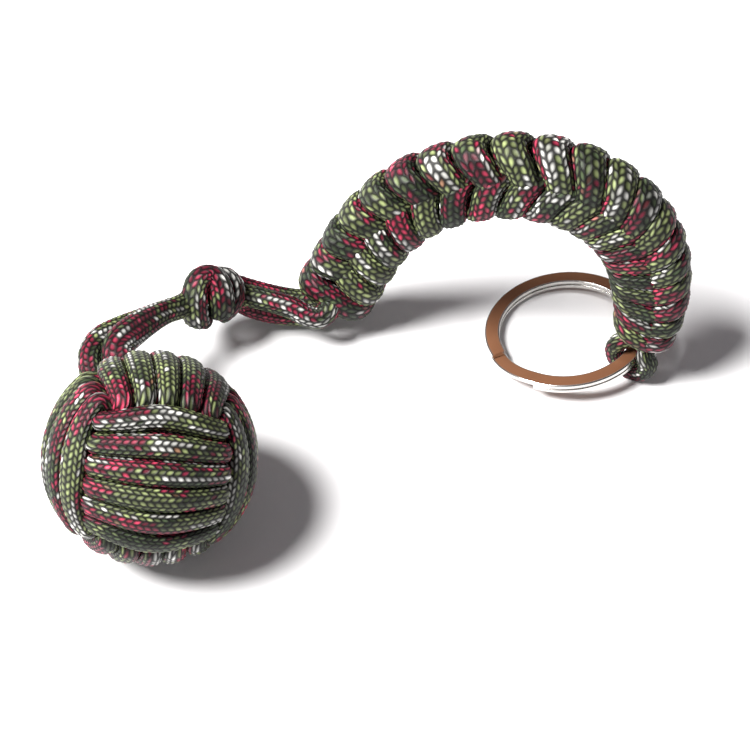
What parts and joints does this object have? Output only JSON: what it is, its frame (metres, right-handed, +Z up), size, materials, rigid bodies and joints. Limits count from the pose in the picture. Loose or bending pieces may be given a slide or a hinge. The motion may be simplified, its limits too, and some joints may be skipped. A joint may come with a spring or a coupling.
{
  "type": "monkey fist knot key fob",
  "caption": "Cord key fob: a monkey's fist knot over a steel ball, a stopper knot, a knotted cord bar standing as an arch, and a flat split ring.",
  "frame": {"origin": "middle of the base of the whole part's box, on the surface that it lies on", "axes": "+X from the fist towards the ring, +Y away from the viewer, +Z up"},
  "size_m": [0.1224, 0.081, 0.0495],
  "materials": {
    "cord": "braided polyester cord, green with dark red patches and white flecks",
    "steel": "plain steel ball",
    "ring_steel": "nickel plated, bright"
  },
  "bodies": {
    "lanyard": {"lead_strand_a": "cord", "lead_strand_b": "cord", "knot_core_strand": "cord", "knot_turns": "cord", "neck_strand_a": "cord", "neck_strand_b": "cord", "neck_strand_c": "cord", "neck_strand_d": "cord", "bar_turns": "cord", "core_loop": "cord"},
    "fist": {"steel_ball": "steel", "fist_turns_front": "cord", "fist_turns_top": "cord", "fist_turns_side": "cord"},
    "ring": {"split_ring": "ring_steel"}
  },
  "joints": [
    {"name": "fist_swing", "type": "hinge", "parent": "lanyard", "child": "fist", "pos_m": [-0.04981, 0.01253, 0.01868], "axis": [0.9165, -0.4, 0], "range_deg": [-30, 70], "deforming": ["lead_strand_a", "lead_strand_b"]},
    {"name": "ring_swing", "type": "hinge", "parent": "lanyard", "child": "ring", "pos_m": [0.05001, 0.01543, 0.00529], "axis": [0.5736, 0.8191, 0], "range_deg": [-60, 60]}
  ]
}
